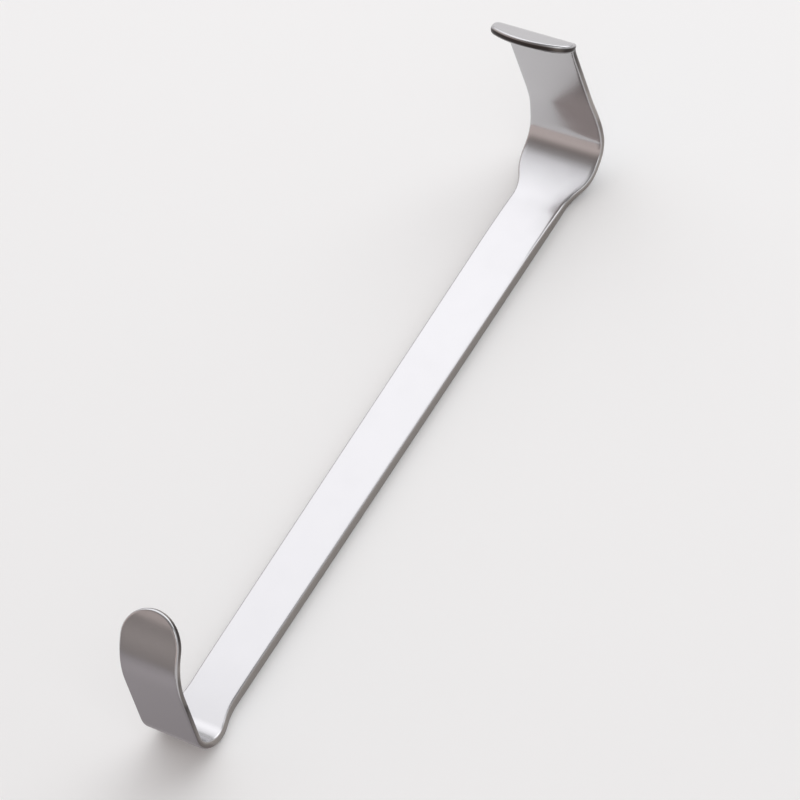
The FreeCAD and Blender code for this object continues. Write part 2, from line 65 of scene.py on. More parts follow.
# Each card: name, centre, place it faces, extent, strength in its middle and corners, tint, lights others
CARDS = (
    ("back_softbox", (0.864, 0.805, 1.223), (0, 0, 0.02), (2.3, 2.2), (1.82, 1.0), (0.985, 0.985, 1), True),
    ("side_softbox", (1.274, -0.271, 1.093), (0, 0, 0.02), (1.7, 1.4), (2.4, 1.32), (0.98, 0.99, 1), True),
    ("front_softbox", (-0.5, -0.85, 1.36), (0, 0, 0.02), (1.2, 0.9), (1.5, 0.83), (1, 1, 1), True),
    # The two cards that light nothing cast no shadow and glow dimly only for the steel's reflections: a
    # painted dark reflection of the room beyond the hook, and painted shade of the floor beside it
    ("painted_shade_card", (-0.193, 0.06, 0.057), (-0.1, 0, 0.057), (0.085, 0.11), (0.46, 0.25),
     (1, 0.9, 0.86), False),
    ("low_painted_shade_card", (-0.1405, 0.03, 0.0035), (-0.1285, 0.03, 0.2035), (0.11, 0.1), (0.52, 0.34),
     (1, 0.93, 0.95), False),
)

# The camera's place and axes, fitted to the edges of the strip
CAMERA_LENS, CAMERA_SENSOR = 156.771, 36.0
CAMERA_NEAR, CAMERA_FAR = 0.05, 20.0
CAMERA_PLACE = (-0.35524964, -0.37565424, 0.64920106)
CAMERA_RIGHT = (0.49631816, -0.84204764, -0.21124407)
CAMERA_DOWN = (-0.74992672, -0.29326385, -0.59296393)
CAMERA_AHEAD = (0.43735363, 0.45271634, -0.77702620)


def length(name, description, millimetres):
    return bpy.props.FloatProperty(
        name=name, description=description, default=millimetres * MM, min=0.0, unit="LENGTH",
        subtype="DISTANCE", precision=5)


def angle(name, description, degrees):
    return bpy.props.FloatProperty(
        name=name, description=description, default=math.radians(degrees), unit="ROTATION", subtype="ANGLE")


def amount(name, description, value):
    return bpy.props.FloatProperty(name=name, description=description, default=value, min=0.0)


def from_hex(text):
    """An sRGB hex colour as linear RGBA."""
    values = [int(text[k : k + 2], 16) / 255 for k in (1, 3, 5)]
    return (*[v / 12.92 if v <= 0.04045 else ((v + 0.055) / 1.055) ** 2.4 for v in values], 1.0)


def colour(name, description, text):
    return bpy.props.FloatVectorProperty(
        name=name, description=description, default=from_hex(text)[:3], size=3, min=0.0, max=1.0,
        subtype="COLOR")


class StripSizes(bpy.types.PropertyGroup):
    overall_length: length("Overall length", "Outside of the hook to outside of the blade", 190.0)
    shank_thick: length("Shank thickness", "Between the two tapers", 3.0)
    neck_thick: length("Neck thickness", "Shank where each bend begins", 2.4)
    shank_wide_hook: length("Shank width at the hook", "Where the hook begins to widen", 12.4)
    shank_wide_blade: length("Shank width at the blade", "Where the blade begins to widen", 14.3)
    taper_long: length("Taper length", "Length of each thinning of the shank", 18.0)
    hook_thick: length("Hook thickness", "Above its bend", 1.75)
    hook_wide: length("Hook width", "The same all the way up", 15.8)
    hook_bend_rad: length("Hook bend radius", "Inside of the bend at the hook", 6.35)
    hook_turn: angle("Hook bend", "Turn of that bend", 93.6)
    hook_leg: length("Hook leg", "Straight part of the hook", 15.2)
    hook_curl_rad: length("Hook curl radius", "Inside of the curl towards the tip", 21.9)
    hook_curl_turn: angle("Hook curl", "Turn of the curl", 52.7)
    hook_flare: length("Hook flare", "Length over which the shank widens into the hook", 10.8)
    hook_flare_in: length("Hook flare place", "From the hook's outside to the end of that flare", 5.1)
    blade_thick: length("Blade thickness", "From the crease to the lip", 1.6)
    ease_rad: length("Lead-in radius", "Inside of the wide bend that leads into the crease", 28.3)
    ease_turn: angle("Lead-in bend", "Turn of that wide bend", 28.1)
    crease_rad: length("Crease radius", "Inside of the crease, the tight middle of the blade's bend", 7.1)
    crease_turn: angle("Crease", "Turn of the crease", 49.1)
    settle_rad: length("Lead-out radius", "Inside of the wide bend that leads out of the crease", 27.6)
    settle_turn: angle("Lead-out bend", "Turn of that wide bend", 17.4)
    blade_leg: length("Blade leg", "Straight part of the blade", 24.6)
    blade_bulge: length("Blade bulge", "Widest place, in the bend", 21.0)
    bulge_high: length("Bulge height", "Height at which the bulge begins to run out", 5.0)
    blade_narrowing: length("Blade narrowing", "Height over which it runs out", 19.0)
    blade_wide: length("Blade width", "Straight part of the blade", 18.6)
    blade_flare: length("Blade flare", "Length over which the shank widens into the bend", 12.5)
    blade_flare_in: length("Blade flare place", "From the blade's outside to the end of that flare", 7.5)
    lip_thick: length("Lip thickness", "A little more than the blade's", 2.0)
    lip_rad: length("Lip curl radius", "Inside of the lip's curl", 3.3)
    lip_turn: angle("Lip curl", "Turn of the lip", 52.0)
    lip_long: length("Lip length", "Flat part of the lip, at its middle", 6.2)
    lip_wide: length("Lip width", "Across its corners", 22.4)
    lip_flare_rad: length("Lip hollow", "Hollow in each side below the lip's corner", 4.5)
    lip_corner_rad: length("Lip corner", "Corners of the lip", 4.2)
    lip_end_rad: length("Lip bow", "Bowed end edge of the lip", 19.0)
    edge_round: length("Edge rounding", "Radius of every long edge", 0.6)


class SteelFinish(bpy.types.PropertyGroup):
    face: colour("Face colour", "Polished faces", "#BFBEC0")
    # The edge colour is darker than ground steel alone would be, partly as painted shade for the dim
    # surroundings the narrow edges mirror
    edge: colour("Edge colour", "Ground narrow edges", "#9B9591")
    # Painted dark reflections: the colour of the darker patches laid on the edges of both raised ends
    painted_reflection: colour("Painted reflection colour", "Darker patches on the edges of both raised ends", "#3F3B3A")
    face_rough: amount("Face roughness", "Blur of the faces", 0.2)
    edge_rough: amount("Edge roughness", "Blur of the edges", 0.34)
    haze: amount("Haze", "How much the blur of the faces varies", 0.025)
    haze_size: length("Haze size", "Width of one hazy spot", 6.25)
    painted_reflection_size: length("Painted reflection size", "Length of one dark patch", 13.3)
    painted_reflection_low: length("Painted reflection foot", "Height at which the dark patches begin", 6.0)
    painted_reflection_high: length("Painted reflection height", "Height from which they are at their darkest", 22.0)
    wave_size: length("Wave size", "Width of one wave that hand polishing leaves", 18.2)
    wave_depth: length("Wave depth", "Height of those gentle waves", 0.012)
    line_long: length("Line length", "Length of one fine polishing line", 16.7)
    line_wide: length("Line width", "Width of one fine polishing line", 0.42)
    line_depth: length("Line depth", "Height of the fine polishing lines", 0.0012)


class StudioSettings(bpy.types.PropertyGroup):
    floor: colour("Floor colour", "Paper under the object", "#F0F0F0")
    fibre_size: length("Fibre size", "Width of one paper fibre", 1.1)
    fibre_depth: length("Fibre depth", "Height of the paper's fibres", 0.01)
    room: colour("Room colour", "Walls round the table", "#FFFFFF")
    warm_wall: colour("Warm wall colour", "The wall beyond the hook", "#FFF0EA")
    wall_light: amount("Wall light", "Strength of the light from low down", 0.76)
    ceiling_light: amount("Ceiling light", "Strength of the light from overhead", 0.3)


def add_node(tree, kind, settings=None, inputs=None):
    """Adds one node; an input is a value or another node's socket."""
    node = tree.nodes.new(kind)
    for name, value in (settings or {}).items():
        setattr(node, name, value)
    for name, value in (inputs or {}).items():
        if isinstance(value, bpy.types.NodeSocket):
            tree.links.new(value, node.inputs[name])
        else:
            node.inputs[name].default_value = value
    return node


def add_inputs(tree, wanted):
    """Gives a node group its named inputs, each a name, a kind and a default or None."""
    for name, kind, default in wanted:
        socket = tree.interface.new_socket(name, in_out="INPUT", socket_type=kind)
        if default is not None:
            socket.default_value = default


def empty_material(name):
    material = bpy.data.materials.new(name)
    material.use_nodes = True
    material.node_tree.nodes.clear()
    return material


def double_arc(along, run, rise):
    """Sideways shift after a distance, on two equal arcs that end parallel to where they began."""
    along = min(max(along, 0.0), run)
    radius = (run**2 + rise**2) / (4 * abs(rise))
    sag = radius - math.sqrt(radius**2 - min(along, run - along) ** 2)
    return math.copysign(sag if along < run / 2 else abs(rise) - sag, rise)


class FlatStrip:
    """The flat strip before it is bent: x runs along its outer face, and 0 is midway along the shank."""

    def __init__(self, size):
        self.size = size
        half, ease, crease = size.overall_length / 2, size.ease_turn, size.ease_turn + size.crease_turn
        self.hook_out = size.hook_bend_rad + self.outer_gain(size.hook_thick, size.hook_turn)
        self.ease_out = size.ease_rad + self.outer_gain(size.blade_thick, ease)
        self.curl_out = size.hook_curl_rad + size.hook_thick
        self.crease_out = size.crease_rad + size.blade_thick
        self.settle_out = size.settle_rad + size.blade_thick
        self.lip_out = size.lip_rad + size.lip_thick
        crease_room = self.crease_out * (math.sin(crease) - math.sin(ease))
        settle_room = self.settle_out * (1 - math.sin(crease))
        self.hook_start = half - self.hook_out
        self.curl_start = self.hook_start + self.hook_out * size.hook_turn + size.hook_leg
        self.ease_start = half - self.ease_out * math.sin(ease) - crease_room - settle_room
        self.crease_start = self.ease_start + self.ease_out * ease
        self.settle_start = self.crease_start + self.crease_out * size.crease_turn
        self.leg_start = self.settle_start + self.settle_out * size.settle_turn
        self.lip_start = self.leg_start + size.blade_leg
        self.lip_flat = self.lip_start + self.lip_out * size.lip_turn

    def outer_gain(self, thick, turn):
        """How much wider a bend's outside is than its inside, which thins the strip from neck to end."""
        return (self.size.neck_thick - thick * math.cos(turn)) / (1 - math.cos(turn))

    def thickness(self, x):
        size = self.size
        if x < 0:
            past = -x - self.hook_start
            return self.thinning(past, self.hook_out, size.hook_bend_rad, size.hook_turn, size.hook_thick)
        if x < self.crease_start:
            past = x - self.ease_start
            return self.thinning(past, self.ease_out, size.ease_rad, size.ease_turn, size.blade_thick)
        return self.lip_thickening(x - self.lip_start)

    def thinning(self, past, out, inside, turn, thick):
        """Thickness past a bend's start: a long crest on the shank, then the bend's tighter inside arc."""
        size = self.size
        gap, rise, run = out - inside - thick, size.shank_thick - size.neck_thick, size.taper_long
        both = (run**2 + rise**2) / (2 * rise)
        before = gap * math.sin(turn) - past
        if before >= run:
            return size.shank_thick
        if before > inside * run / both:
            crest = both - inside
            sag = crest - math.sqrt(crest**2 - (run - before) ** 2)
            return size.shank_thick - sag - max(past, 0.0) ** 2 / (2 * out)
        if past <= 0:
            return size.neck_thick + inside - math.sqrt(inside**2 - before**2)
        a = max(turn - past / out, 0.0)
        return out - gap * math.cos(a) - math.sqrt(inside**2 - (gap * math.sin(a)) ** 2)

    def lip_thickening(self, past):
        """Thickness past the start of the lip's curl, whose inside arc starts a little sooner."""
        size, turn, inside = self.size, self.size.lip_turn, self.size.lip_rad
        sooner = (size.lip_thick - size.blade_thick) / math.sin(turn)
        early = past + sooner * math.cos(turn)
        if early <= 0:
            return size.blade_thick
        if past < 0:
            return size.blade_thick + inside - math.sqrt(inside**2 - early**2)
        a = turn - past / self.lip_out
        if a <= 0:
            return size.lip_thick
        if inside * math.tan(a) < sooner:
            return self.lip_out - inside / math.cos(a)
        shift = sooner * math.sin(a)
        return self.lip_out - shift - math.sqrt(inside**2 - sooner**2 + shift**2)

    def reach(self, x):
        """How far out and how high the middle of the thickness at x comes to lie once the strip is bent."""
        size = self.size
        bends = [(self.hook_start, self.hook_out, size.hook_turn)]
        if x >= 0:
            bends = [(self.ease_start, self.ease_out, size.ease_turn),
                     (self.crease_start, self.crease_out, size.crease_turn),
                     (self.settle_start, self.settle_out, size.settle_turn)]
        out = done = min(abs(x), bends[0][0])
        up = heading = 0.0
        for start, radius, turn in bends:
            swing = min(max((abs(x) - start) / radius, 0.0), turn)
            out += radius * (math.sin(heading + swing) - math.sin(heading))
            up += radius * (math.cos(heading) - math.cos(heading + swing))
            heading += swing
            done += radius * swing
        rest, middle = abs(x) - done, self.thickness(x) / 2
        out += rest * math.cos(heading) - middle * math.sin(heading)
        up += rest * math.sin(heading) + middle * math.cos(heading)
        return out, up

    def half_width(self, x):
        size, half = self.size, self.size.overall_length / 2
        out, up = self.reach(x)
        hook_from = half - size.hook_flare_in - size.hook_flare
        blade_from = half - size.blade_flare_in - size.blade_flare
        thin, broad, bulge = size.shank_wide_hook / 2, size.shank_wide_blade / 2, size.blade_bulge / 2
        if x < 0 and out > hook_from:
            return thin + double_arc(out - hook_from, size.hook_flare, size.hook_wide / 2 - thin)
        if x > 0 and out > blade_from:
            flare = double_arc(out - blade_from, size.blade_flare, bulge - broad)
            narrowing = double_arc(up - size.bulge_high, size.blade_narrowing, size.blade_wide / 2 - bulge)
            return min(broad + flare, bulge + narrowing)
        share = (math.copysign(out, x) + hook_from) / (hook_from + blade_from)
        return thin + (broad - thin) * share

    def lip_outline(self):
        """From the hollow's foot round one corner to the middle of the end edge."""
        size = self.size
        width, corner, bow = size.blade_wide / 2, size.lip_corner_rad, size.lip_end_rad
        hollow, centre_y = size.lip_flare_rad, size.lip_wide / 2 - corner
        swing = math.asin(centre_y / (bow - corner))
        centre_x = size.lip_long - bow + (bow - corner) * math.cos(swing)
        spread = math.acos((width + hollow - centre_y) / (hollow + corner))
        hollow_x = centre_x - (hollow + corner) * math.sin(spread)
        corner_from = math.pi / 2 + spread
        points = []
        for k in range(HOLLOW_STEPS + 1):
            a = spread * k / HOLLOW_STEPS
            points.append((hollow_x + hollow * math.sin(a), width + hollow * (1 - math.cos(a))))
        for k in range(1, CORNER_STEPS + 1):
            a = corner_from - (corner_from - swing) * k / CORNER_STEPS
            points.append((centre_x + corner * math.cos(a), centre_y + corner * math.sin(a)))
        for k in range(1, BOW_STEPS + 1):
            a = swing * (1 - k / BOW_STEPS)
            points.append((size.lip_long - bow + bow * math.cos(a), bow * math.sin(a)))
        return [(self.unrolled_lip(x), y) for x, y in points]

    def unrolled_lip(self, x):
        """Place along the strip for a distance from the lip's curl, measured in the plane of the lip."""
        turn = self.size.lip_turn
        if x >= 0:
            return self.lip_flat + x
        past = 0.0
        for _ in range(6):  # the thickness there and the place depend on each other
            middle = self.lip_out - self.lip_thickening(past) / 2
            if -x > middle * math.sin(turn):
                past = -(-x - middle * math.sin(turn)) / math.cos(turn)
            else:
                past = self.lip_out * (turn - math.asin(-x / middle))
        return self.lip_start + past

    def tip_outline(self):
        """The hook's round tip, from the middle of its end to where its sides run straight."""
        size, middle = self.size, self.curl_out - self.size.hook_thick / 2
        radius = size.hook_wide / 2
        base = self.curl_start + self.curl_out * (size.hook_curl_turn - radius / 2 / middle)
        points = []
        for k in range(TIP_STEPS + 1):
            a = math.pi / 2 * k / TIP_STEPS
            x = radius * (math.cos(a) - 0.5)
            points.append((-base - self.curl_out * math.asin(x / middle), radius * math.sin(a)))
        return points

    def outline(self):
        """One half of the outline, from the middle of the tip to the middle of the lip's end edge."""
        tip, lip = self.tip_outline(), self.lip_outline()
        hook_end = -self.hook_start + self.size.hook_flare
        blade_end = self.ease_start - self.size.blade_flare / 2
        x, points = tip[-1][0], list(tip)
        while True:
            x += COARSE if hook_end <= x <= blade_end else FINE
            if x > lip[0][0] - FINE / 2:
                break
            points.append((x, self.half_width(x)))
        return points + lip


def even_steps(points, count):
    """Points at equal steps along a line of points."""
    gaps = [math.dist(a, b) for a, b in zip(points, points[1:])]
    total, found, k, before = sum(gaps), [], 0, 0.0
    for step in range(count + 1):
        goal = total * step / count
        while k < len(gaps) - 1 and before + gaps[k] < goal:
            before += gaps[k]
            k += 1
        share = (goal - before) / gaps[k]
        a, b = points[k], points[k + 1]
        found.append((a[0] + (b[0] - a[0]) * share, a[1] + (b[1] - a[1]) * share))
    return found


def corner_place(points, first, last):
    """Number of the point where the outline has turned half way round the end."""
    pairs = zip(points[first:], points[first + 1 : last])
    slopes = [abs((b[1] - a[1]) / max(abs(b[0] - a[0]), 1e-9)) for a, b in pairs]
    return first + min(range(len(slopes)), key=lambda k: abs(slopes[k] - 1))


def blended(low, high, left, right, i, j):
    """Point i, j of the grid that fills four border lines."""
    u, v = i / (len(low) - 1), j / (len(left) - 1)
    return [
        (1 - v) * low[i][c] + v * high[i][c] + (1 - u) * left[j][c] + u * right[j][c]
        - (1 - u) * ((1 - v) * low[0][c] + v * high[0][c]) - u * ((1 - v) * low[-1][c] + v * high[-1][c])
        for c in (0, 1)]


def flat_blank(strip):
    """The blank as a closed mesh: two faces, joined all round by rounded edges."""
    radius = strip.size.edge_round
    half = strip.outline()
    tip_corner = corner_place(half, 0, TIP_STEPS)
    lip_corner = corner_place(half, len(half) - BOW_STEPS - CORNER_STEPS // 2, len(half))
    side = half[tip_corner : lip_corner + 1]
    tip_end = even_steps([(x, -y) for x, y in half[tip_corner::-1]] + half[1 : tip_corner + 1], COLUMNS)
    lip_half = half[lip_corner:]
    lip_end = even_steps([(x, -y) for x, y in lip_half] + lip_half[-2::-1], COLUMNS)
    rows = len(side) - 1
    other = [(x, -y) for x, y in side]
    loop = [*other, *lip_end[1:-1], *side[::-1], *tip_end[-2:0:-1]]
    count = len(loop)
    outward = []
    for k in range(count):
        (ax, ay), (bx, by) = loop[k - 1], loop[(k + 1) % count]
        span = math.hypot(bx - ax, by - ay)
        outward.append(((by - ay) / span, (ax - bx) / span))
    vertices, faces = [], []

    def inset(k, distance):
        return loop[k][0] - outward[k][0] * distance, loop[k][1] - outward[k][1] * distance

    def rounding(x):
        """Depth of the rounded edge, which takes the whole thickness of the lip's end."""
        share = min(max((x - strip.lip_start) / LIP_ROUNDING_RUN, 0.0), 1.0)
        return radius + share * (LIP_ROUNDING * strip.thickness(x) - radius)

    inner = [inset(k, radius) for k in range(count)]
    low = inner[: rows + 1]
    right = inner[rows : rows + COLUMNS + 1]
    high = inner[rows + COLUMNS : 2 * rows + COLUMNS + 1][::-1]
    left = [inner[0], *inner[: 2 * rows + COLUMNS - 1 : -1]][: COLUMNS + 1]
    across, sheet = COLUMNS + 1, (rows + 1) * (COLUMNS + 1)
    for upper in (False, True):
        for i in range(rows + 1):
            for j in range(across):
                x, y = blended(low, high, left, right, i, j)
                vertices.append((x, y, strip.thickness(x) if upper else 0.0))
    edge_share = [0.0] * len(vertices)
    for i in range(rows):
        for j in range(COLUMNS):
            a = i * across + j
            faces.append((a, a + 1, a + across + 1, a + across))
            a += sheet
            faces.append((a, a + across, a + across + 1, a + 1))
    rim = [i * across for i in range(rows + 1)]
    rim += [rows * across + j for j in range(1, COLUMNS + 1)]
    rim += [i * across + COLUMNS for i in range(rows - 1, -1, -1)]
    rim += [j for j in range(COLUMNS - 1, 0, -1)]
    rings = [rim]
    for upper in (False, True):
        for step in range(ROUND_STEPS, 0, -1) if upper else range(1, ROUND_STEPS + 1):
            a = math.pi / 2 * step / ROUND_STEPS
            inside = radius * (1 - math.sin(a))
            rings.append(range(len(vertices), len(vertices) + count))
            for x, y in [inset(k, inside) for k in range(count)]:
                depth = rounding(x) * (1 - math.cos(a))
                vertices.append((x, y, strip.thickness(x) - depth if upper else depth))
            # The squared share keeps the ground edge's darker tone, partly painted shade, narrower on the
            # outer face
            edge_share += [step / ROUND_STEPS if upper else (step / ROUND_STEPS) ** 2] * count
    rings.append([k + sheet for k in rim])
    for ring, following in zip(rings, rings[1:]):
        for k in range(count):
            m = (k + 1) % count
            faces.append((ring[k], ring[m], following[m], following[k]))
    mesh = bpy.data.meshes.new(PIECE)
    mesh.from_pydata(vertices, [], faces)
    share = mesh.attributes.new("edge_share", "FLOAT", "POINT")
    share.data.foreach_set("value", edge_share)
    flat = mesh.uv_layers.new(name="flat")
    flat.data.foreach_set("uv", [c for corner in mesh.loops for c in vertices[corner.vertex_index][:2]])
    mesh.validate()
    return mesh


def bend_group():
    """Bends a strip upwards from one place on, round a circle that its outer face follows."""
    tree = bpy.data.node_groups.new("Bend strip", "GeometryNodeTree")
    number = "NodeSocketFloat"
    add_inputs(tree, [("Geometry", "NodeSocketGeometry", None), ("Side", number, 1.0),
                      ("Start", number, 0.0), ("Radius", number, 0.01), ("Turn", number, 1.0)])
    tree.interface.new_socket("Geometry", in_out="OUTPUT", socket_type="NodeSocketGeometry")
    given = add_node(tree, "NodeGroupInput").outputs
    start, radius, turn, side = given["Start"], given["Radius"], given["Turn"], given["Side"]
    here = add_node(tree, "GeometryNodeInputPosition").outputs[0]
    place = add_node(tree, "ShaderNodeSeparateXYZ", None, {0: here}).outputs
    maths = "ShaderNodeMath"
    reach = add_node(tree, maths, {"operation": "MULTIPLY"}, {0: place[0], 1: side}).outputs[0]
    past = add_node(tree, maths, {"operation": "SUBTRACT"}, {0: reach, 1: start}).outputs[0]
    raw = add_node(tree, maths, {"operation": "DIVIDE"}, {0: past, 1: radius}).outputs[0]
    floor = add_node(tree, maths, {"operation": "MAXIMUM"}, {0: raw, 1: 0.0}).outputs[0]
    turned = add_node(tree, maths, {"operation": "MINIMUM"}, {0: floor, 1: turn}).outputs[0]
    used = add_node(tree, maths, {"operation": "MULTIPLY"}, {0: turned, 1: radius}).outputs[0]
    rest = add_node(tree, maths, {"operation": "SUBTRACT"}, {0: past, 1: used}).outputs[0]
    arm = add_node(tree, maths, {"operation": "SUBTRACT"}, {0: radius, 1: place[2]}).outputs[0]
    sine = add_node(tree, maths, {"operation": "SINE"}, {0: turned}).outputs[0]
    cosine = add_node(tree, maths, {"operation": "COSINE"}, {0: turned}).outputs[0]
    arm_out = add_node(tree, maths, {"operation": "MULTIPLY"}, {0: arm, 1: sine}).outputs[0]
    arm_up = add_node(tree, maths, {"operation": "MULTIPLY"}, {0: arm, 1: cosine}).outputs[0]
    out = add_node(tree, maths, {"operation": "MULTIPLY_ADD"}, {0: rest, 1: cosine, 2: arm_out}).outputs[0]
    out_all = add_node(tree, maths, {"operation": "ADD"}, {0: out, 1: start}).outputs[0]
    x = add_node(tree, maths, {"operation": "MULTIPLY"}, {0: out_all, 1: side}).outputs[0]
    up = add_node(tree, maths, {"operation": "MULTIPLY_ADD"}, {0: rest, 1: sine, 2: radius}).outputs[0]
    z = add_node(tree, maths, {"operation": "SUBTRACT"}, {0: up, 1: arm_up}).outputs[0]
    moved = add_node(tree, "ShaderNodeCombineXYZ", None, {0: x, 1: place[1], 2: z}).outputs[0]
    bent = add_node(tree, "GeometryNodeSetPosition", None, {
        "Geometry": given["Geometry"], "Position": moved})
    add_node(tree, "NodeGroupOutput", None, {0: bent.outputs[0]})
    return tree


def forming_tree(bend):
    """The whole forming: the bends farthest from the shank come first, each on a still straight strip."""
    tree = bpy.data.node_groups.new("Form retractor", "GeometryNodeTree")
    ends = (("Curl", -1.0), ("Lip", 1.0), ("Hook", -1.0), ("Settle", 1.0), ("Crease", 1.0), ("Ease", 1.0))
    wanted = [("Geometry", "NodeSocketGeometry", None), ("Steel", "NodeSocketMaterial", None)]
    for name, _ in ends:
        wanted += [(f"{name} {what}", "NodeSocketFloat", 0.01) for what in ("start", "radius", "turn")]
    add_inputs(tree, wanted)
    tree.interface.new_socket("Geometry", in_out="OUTPUT", socket_type="NodeSocketGeometry")
    given = add_node(tree, "NodeGroupInput").outputs
    shape = given["Geometry"]
    for name, side in ends:
        shape = add_node(tree, "GeometryNodeGroup", {"node_tree": bend}, {
            "Geometry": shape, "Side": side, "Start": given[name + " start"],
            "Radius": given[name + " radius"], "Turn": given[name + " turn"]}).outputs[0]
    smooth = add_node(tree, "GeometryNodeSetShadeSmooth", None, {"Geometry": shape}).outputs[0]
    real = add_node(tree, "GeometryNodeRealizeInstances", None, {"Geometry": smooth}).outputs[0]
    steel = add_node(tree, "GeometryNodeSetMaterial", None, {"Geometry": real, "Material": given["Steel"]})
    add_node(tree, "NodeGroupOutput", None, {0: steel.outputs[0]})
    return tree


# Hand-polished stainless steel mirrors the room softly blurred; its ground edges look duller and darker,
# the darkness partly painted shade for the dim surroundings they mirror, with painted dark reflections in
# patches on both raised ends
def polished_stainless(finish):
    material = empty_material("polished stainless steel")
    tree = material.node_tree
    here = add_node(tree, "ShaderNodeTexCoord").outputs["Object"]
    along = add_node(tree, "ShaderNodeUVMap", {"uv_map": "flat"}).outputs[0]
    share = add_node(tree, "ShaderNodeAttribute", {"attribute_name": "edge_share"}).outputs["Fac"]
    smoothly = {"interpolation_type": "SMOOTHSTEP"}
    # The tone of the ground edge, partly painted shade that covers a highlight on the rounding, starts a
    # third of the way round the rounding
    edge = add_node(tree, "ShaderNodeMapRange", smoothly, {
        "Value": share, "From Min": 0.3, "From Max": 0.75}).outputs[0]
    noise = "ShaderNodeTexNoise"
    haze = add_node(tree, noise, None, {
        "Vector": here, "Scale": 1 / finish.haze_size, "Detail": 4.0}).outputs["Fac"]
    # Painted dark reflections: noise patches, growing with height, that darken the edge colour on both
    # raised ends
    painted_reflection = add_node(tree, noise, None, {
        "Vector": here, "Scale": 1 / finish.painted_reflection_size, "Detail": 1.0}).outputs["Fac"]
    waves = add_node(tree, noise, None, {
        "Vector": here, "Scale": 1 / finish.wave_size, "Detail": 1.5}).outputs["Fac"]
    # Real polishing lines are some hundredths of a millimetre wide, and are drawn wider so that they show
    stretch = add_node(tree, "ShaderNodeMapping", None, {
        "Vector": along, "Scale": (1 / finish.line_long, 1 / finish.line_wide, 1.0)}).outputs[0]
    lines = add_node(tree, noise, None, {"Vector": stretch, "Scale": 1.0, "Detail": 3.0}).outputs["Fac"]
    patch = add_node(tree, "ShaderNodeMapRange", smoothly, {
        "Value": painted_reflection, "From Min": 0.36, "From Max": 0.54}).outputs[0]
    height = add_node(tree, "ShaderNodeSeparateXYZ", None, {0: here}).outputs[2]
    raised = add_node(tree, "ShaderNodeMapRange", None, {
        "Value": height, "From Min": finish.painted_reflection_low, "From Max": finish.painted_reflection_high,
        "To Max": patch}).outputs[0]
    ground = add_node(tree, "ShaderNodeMix", {"data_type": "RGBA"}, {
        0: raised, 6: (*finish.edge, 1.0), 7: (*finish.painted_reflection, 1.0)}).outputs[2]
    tone = add_node(tree, "ShaderNodeMix", {"data_type": "RGBA"}, {
        0: edge, 6: (*finish.face, 1.0), 7: ground}).outputs[2]
    face_rough = add_node(tree, "ShaderNodeMapRange", None, {
        "Value": haze, "From Min": 0.3, "From Max": 0.7,
        "To Min": finish.face_rough - finish.haze, "To Max": finish.face_rough + finish.haze}).outputs[0]
    rough = add_node(tree, "ShaderNodeMix", {"data_type": "FLOAT"}, {
        0: edge, 2: face_rough, 3: finish.edge_rough}).outputs[0]
    wavy = add_node(tree, "ShaderNodeBump", None, {
        "Height": waves, "Distance": finish.wave_depth, "Strength": 1.0}).outputs[0]
    lined = add_node(tree, "ShaderNodeBump", None, {
        "Height": lines, "Distance": finish.line_depth, "Strength": 1.0, "Normal": wavy}).outputs[0]
    shader = add_node(tree, "ShaderNodeBsdfPrincipled", None, {
        "Base Color": tone, "Metallic": 1.0, "Roughness": rough, "Normal": lined})
    add_node(tree, "ShaderNodeOutputMaterial", None, {"Surface": shader.outputs[0]})
    return material


# Matt white paper scatters light evenly, with no gloss; its fibres are drawn coarser than real ones to show
def matt_paper(studio):
    material = empty_material("matt white paper")
    tree = material.node_tree
    here = add_node(tree, "ShaderNodeTexCoord").outputs["Object"]
    fibres = add_node(tree, "ShaderNodeTexNoise", None, {
        "Vector": here, "Scale": 1 / studio.fibre_size, "Detail": 2.0}).outputs["Fac"]
    bump = add_node(tree, "ShaderNodeBump", None, {
        "Height": fibres, "Distance": studio.fibre_depth}).outputs[0]
    matt = add_node(tree, "ShaderNodeBsdfPrincipled", None, {
        "Base Color": (*studio.floor, 1.0), "Roughness": 0.9, "Specular IOR Level": 0.0, "Normal": bump})
    add_node(tree, "ShaderNodeOutputMaterial", None, {"Surface": matt.outputs[0]})
    return material


def glowing_cloth(name, strengths, tint):
    """Light that fades from the middle of a card to its corners."""
    material = empty_material(name)
    tree = material.node_tree
    place = add_node(tree, "ShaderNodeUVMap", {"uv_map": "flat"}).outputs[0]
    far = add_node(tree, "ShaderNodeVectorMath", {"operation": "LENGTH"}, {0: place}).outputs["Value"]
    fade = add_node(tree, "ShaderNodeMapRange", None, {
        "Value": far, "From Min": 0.1, "From Max": 1.4, "To Min": strengths[0], "To Max": strengths[1]})
    shine = add_node(tree, "ShaderNodeEmission", None, {"Color": (*tint, 1.0), "Strength": fade.outputs[0]})
    add_node(tree, "ShaderNodeOutputMaterial", None, {"Surface": shine.outputs[0]})
    return material


